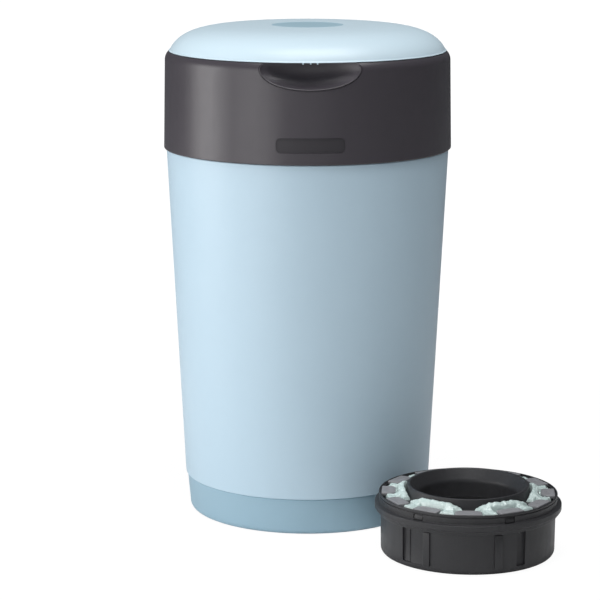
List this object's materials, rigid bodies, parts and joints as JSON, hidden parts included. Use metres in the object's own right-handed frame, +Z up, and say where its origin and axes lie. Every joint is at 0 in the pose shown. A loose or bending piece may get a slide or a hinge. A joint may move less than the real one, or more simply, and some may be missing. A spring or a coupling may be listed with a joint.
{
  "type": "nappy bin",
  "caption": "Tapered round nappy bin with a base band, a lift-off head with a hinged domed lid, a turning film carrier inside, and a spare film cassette beside it",
  "frame": {"origin": "middle of the flat underside of the bin's base, on the floor", "axes": "+Z up, -Y towards the front, where the lid's finger scoop is, +X to the right seen from the front"},
  "size_m": [0.3498, 0.3717, 0.4476],
  "materials": {
    "pale_blue": "satin pale blue moulded plastic with a fine texture",
    "band_blue": "satin moulded plastic, a shade deeper than the tub",
    "charcoal": "satin charcoal grey moulded plastic",
    "plate_grey": "darker satin plastic, bare",
    "liner_grey": "light grey moulded plastic",
    "rubber": "soft matt rubber",
    "cassette_black": "dark grey recycled-look plastic with a soft sheen",
    "film": "thin pale mint film, gathered in pleats",
    "steel": "plain zinc-plated steel"
  },
  "bodies": {
    "tub": {"tub_shell": "pale_blue", "base_band": "band_blue", "base_screw_1": "steel", "base_screw_2": "steel", "base_screw_3": "steel", "base_screw_4": "steel", "foot_pad_1": "rubber", "foot_pad_2": "rubber", "foot_pad_3": "rubber", "foot_pad_4": "rubber"},
    "head": {"head_collar": "charcoal", "collar_plate": "plate_grey", "hinge_pin": "steel", "head_chassis": "charcoal", "chassis_screw_1": "steel", "chassis_screw_2": "steel", "chassis_screw_3": "steel", "chassis_screw_4": "steel", "pawl_pin": "steel", "clamp_ring": "charcoal", "clamp_pin_1": "steel", "clamp_pin_2": "steel", "clamp_pin_3": "steel", "clamp_pin_4": "steel", "cutter_housing": "charcoal"},
    "lid": {"lid_shell": "pale_blue", "lid_disc": "pale_blue", "lid_liner": "liner_grey", "lid_gasket": "rubber", "lid_screw_1": "steel", "lid_screw_2": "steel", "lid_screw_3": "steel", "lid_screw_4": "steel"},
    "carrier": {"carrier_cup": "charcoal", "twist_ring": "liner_grey", "fitted_cassette_tray": "cassette_black", "fitted_cassette_cover": "cassette_black", "fitted_film_pack": "film"},
    "pawl": {"click_pawl": "liner_grey"},
    "clamp_1": {"clamp_finger_1": "liner_grey"},
    "clamp_2": {"clamp_finger_2": "liner_grey"},
    "clamp_3": {"clamp_finger_3": "liner_grey"},
    "clamp_4": {"clamp_finger_4": "liner_grey"},
    "cutter": {"cutter_slider": "liner_grey", "cutter_blade": "steel"},
    "spare_cassette": {"spare_cassette_tray": "cassette_black", "spare_cassette_cover": "cassette_black", "spare_film_pack": "film"}
  },
  "joints": [
    {"name": "head_lift", "type": "slide", "parent": "tub", "child": "head", "axis": [0, 0, 1], "range_m": [0, 0.18]},
    {"name": "lid_hinge", "type": "hinge", "parent": "head", "child": "lid", "pos_m": [0, 0.1286, 0.4191], "axis": [-1, 0, 0], "range_deg": [0, 95]},
    {"name": "carrier_twist", "type": "hinge", "parent": "head", "child": "carrier", "pos_m": [0, 0, 0.38], "axis": [0, 0, 1], "continuous": true},
    {"name": "pawl_click", "type": "hinge", "parent": "head", "child": "pawl", "pos_m": [0.11053, -0.02201, 0.4045], "axis": [0, 0, -1], "range_deg": [0, 9], "stiffness_Nm_per_rad": 0.05, "springref_deg": -5.73},
    {"name": "clamp_1_swing", "type": "hinge", "parent": "head", "child": "clamp_1", "pos_m": [0.05091, 0.05091, 0.3352], "axis": [0.7071, -0.7071, 0], "range_deg": [0, 55], "stiffness_Nm_per_rad": 0.1, "springref_deg": -5.73},
    {"name": "clamp_2_swing", "type": "hinge", "parent": "head", "child": "clamp_2", "pos_m": [-0.05091, 0.05091, 0.3352], "axis": [0.7071, 0.7071, 0], "range_deg": [0, 55], "stiffness_Nm_per_rad": 0.1, "springref_deg": -5.73},
    {"name": "clamp_3_swing", "type": "hinge", "parent": "head", "child": "clamp_3", "pos_m": [-0.05091, -0.05091, 0.3352], "axis": [-0.7071, 0.7071, 0], "range_deg": [0, 55], "stiffness_Nm_per_rad": 0.1, "springref_deg": -5.73},
    {"name": "clamp_4_swing", "type": "hinge", "parent": "head", "child": "clamp_4", "pos_m": [0.05091, -0.05091, 0.3352], "axis": [-0.7071, -0.7071, 0], "range_deg": [0, 55], "stiffness_Nm_per_rad": 0.1, "springref_deg": -5.73},
    {"name": "cutter_slide", "type": "slide", "parent": "head", "child": "cutter", "axis": [1, 0, 0], "range_m": [0, 0.0425]},
    {"name": "spare_lift", "type": "slide", "parent": "tub", "child": "spare_cassette", "axis": [0, 0, 1], "range_m": [0, 0.15]}
  ],
  "couplings": [
    {"joint": "clamp_2_swing", "follows": "clamp_1_swing", "ratio": 1},
    {"joint": "clamp_3_swing", "follows": "clamp_1_swing", "ratio": 1},
    {"joint": "clamp_4_swing", "follows": "clamp_1_swing", "ratio": 1}
  ]
}
